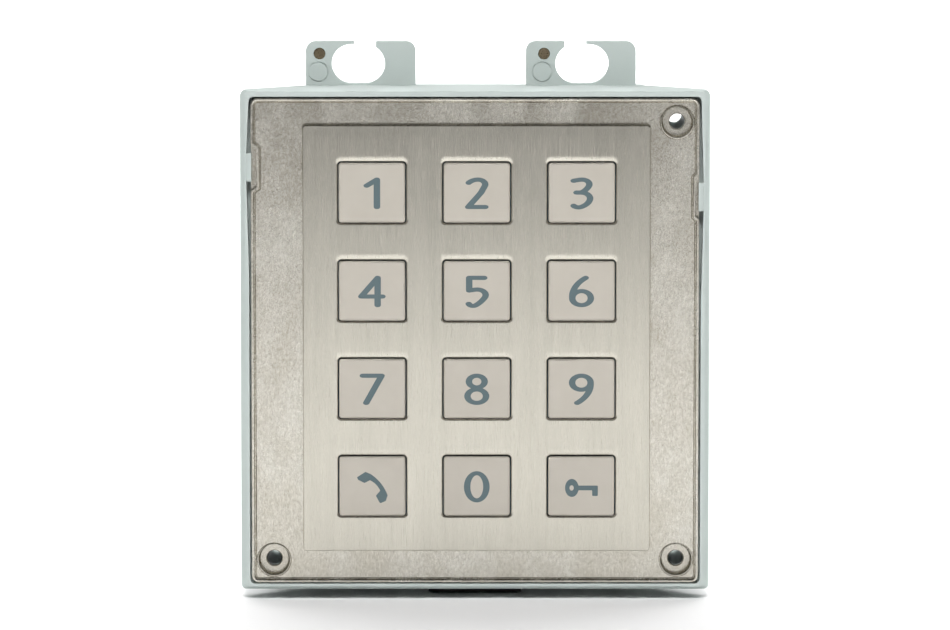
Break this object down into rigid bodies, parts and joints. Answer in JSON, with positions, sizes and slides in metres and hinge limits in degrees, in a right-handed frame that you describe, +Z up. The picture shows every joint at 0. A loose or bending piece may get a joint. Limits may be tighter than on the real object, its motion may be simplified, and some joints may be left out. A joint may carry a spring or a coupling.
{
  "type": "door entry keypad module",
  "caption": "Flush keypad module with a moulded case, plated die-cast front, brushed raised plate and sprung metal keys with inlaid digits; hooks into a wall frame.",
  "frame": {"origin": "centre of the flat rear face that lies against the wall frame", "axes": "+X right seen from the front, -Y out of the front towards the user, +Z up"},
  "size_m": [0.0982, 0.026, 0.1163],
  "materials": {
    "plated_casting": "nickel-plated die casting with a vertically brushed plate",
    "key_metal": "satin blasted metal",
    "legend_resin": "translucent blue-grey plastic",
    "case_plastic": "pale grey-blue moulded plastic",
    "black_rubber": "matt black rubber",
    "mat_silicone": "milky silicone rubber",
    "clear_plastic": "clear moulded light guide",
    "brass": "dull brass",
    "board_green": "green solder mask",
    "pad_gold": "gold-plated copper",
    "led_white": "clear LED package",
    "chip_black": "black moulded package",
    "switch_plastic": "red moulded switch body",
    "socket_plastic": "black connector shroud",
    "capacitor_can": "aluminium can",
    "steel_screw": "zinc-plated steel",
    "carbon": "carbon-filled silicone"
  },
  "bodies": {
    "housing": {"front_frame": "plated_casting", "rear_case": "case_plastic", "frame_seal": "black_rubber", "hook_pins": "brass", "cable_grommet": "black_rubber", "key_mat": "mat_silicone", "light_guide": "clear_plastic", "circuit_board": "board_green", "contact_pads": "pad_gold", "backlight_leds": "led_white", "controller_chip": "chip_black", "bus_transceiver": "chip_black", "address_switch": "switch_plastic", "buzzer": "chip_black", "capacitors": "capacitor_can", "resistors": "chip_black", "bus_socket_left": "socket_plastic", "bus_socket_right": "socket_plastic", "bus_pins_left": "pad_gold", "bus_pins_right": "pad_gold", "board_screws": "steel_screw"},
    "key_1_body": {"key_1": "key_metal", "legend_1": "legend_resin", "contact_pill_1": "carbon"},
    "key_2_body": {"key_2": "key_metal", "legend_2": "legend_resin", "contact_pill_2": "carbon"},
    "key_3_body": {"key_3": "key_metal", "legend_3": "legend_resin", "contact_pill_3": "carbon"},
    "key_4_body": {"key_4": "key_metal", "legend_4": "legend_resin", "contact_pill_4": "carbon"},
    "key_5_body": {"key_5": "key_metal", "legend_5": "legend_resin", "contact_pill_5": "carbon"},
    "key_6_body": {"key_6": "key_metal", "legend_6": "legend_resin", "contact_pill_6": "carbon"},
    "key_7_body": {"key_7": "key_metal", "legend_7": "legend_resin", "contact_pill_7": "carbon"},
    "key_8_body": {"key_8": "key_metal", "legend_8": "legend_resin", "contact_pill_8": "carbon"},
    "key_9_body": {"key_9": "key_metal", "legend_9": "legend_resin", "contact_pill_9": "carbon"},
    "key_call_body": {"key_call": "key_metal", "legend_call": "legend_resin", "contact_pill_call": "carbon"},
    "key_0_body": {"key_0": "key_metal", "legend_0": "legend_resin", "contact_pill_0": "carbon"},
    "key_unlock_body": {"key_unlock": "key_metal", "legend_unlock": "legend_resin", "contact_pill_unlock": "carbon"}
  },
  "joints": [
    {"name": "key_1_press", "type": "slide", "parent": "housing", "child": "key_1_body", "axis": [0, 1, 0], "range_m": [0, 0.0008], "stiffness_N_per_m": 900, "springref_m": -0.0012, "deforming": ["key_mat"]},
    {"name": "key_2_press", "type": "slide", "parent": "housing", "child": "key_2_body", "axis": [0, 1, 0], "range_m": [0, 0.0008], "stiffness_N_per_m": 900, "springref_m": -0.0012, "deforming": ["key_mat"]},
    {"name": "key_3_press", "type": "slide", "parent": "housing", "child": "key_3_body", "axis": [0, 1, 0], "range_m": [0, 0.0008], "stiffness_N_per_m": 900, "springref_m": -0.0012, "deforming": ["key_mat"]},
    {"name": "key_4_press", "type": "slide", "parent": "housing", "child": "key_4_body", "axis": [0, 1, 0], "range_m": [0, 0.0008], "stiffness_N_per_m": 900, "springref_m": -0.0012, "deforming": ["key_mat"]},
    {"name": "key_5_press", "type": "slide", "parent": "housing", "child": "key_5_body", "axis": [0, 1, 0], "range_m": [0, 0.0008], "stiffness_N_per_m": 900, "springref_m": -0.0012, "deforming": ["key_mat"]},
    {"name": "key_6_press", "type": "slide", "parent": "housing", "child": "key_6_body", "axis": [0, 1, 0], "range_m": [0, 0.0008], "stiffness_N_per_m": 900, "springref_m": -0.0012, "deforming": ["key_mat"]},
    {"name": "key_7_press", "type": "slide", "parent": "housing", "child": "key_7_body", "axis": [0, 1, 0], "range_m": [0, 0.0008], "stiffness_N_per_m": 900, "springref_m": -0.0012, "deforming": ["key_mat"]},
    {"name": "key_8_press", "type": "slide", "parent": "housing", "child": "key_8_body", "axis": [0, 1, 0], "range_m": [0, 0.0008], "stiffness_N_per_m": 900, "springref_m": -0.0012, "deforming": ["key_mat"]},
    {"name": "key_9_press", "type": "slide", "parent": "housing", "child": "key_9_body", "axis": [0, 1, 0], "range_m": [0, 0.0008], "stiffness_N_per_m": 900, "springref_m": -0.0012, "deforming": ["key_mat"]},
    {"name": "key_call_press", "type": "slide", "parent": "housing", "child": "key_call_body", "axis": [0, 1, 0], "range_m": [0, 0.0008], "stiffness_N_per_m": 900, "springref_m": -0.0012, "deforming": ["key_mat"]},
    {"name": "key_0_press", "type": "slide", "parent": "housing", "child": "key_0_body", "axis": [0, 1, 0], "range_m": [0, 0.0008], "stiffness_N_per_m": 900, "springref_m": -0.0012, "deforming": ["key_mat"]},
    {"name": "key_unlock_press", "type": "slide", "parent": "housing", "child": "key_unlock_body", "axis": [0, 1, 0], "range_m": [0, 0.0008], "stiffness_N_per_m": 900, "springref_m": -0.0012, "deforming": ["key_mat"]}
  ]
}
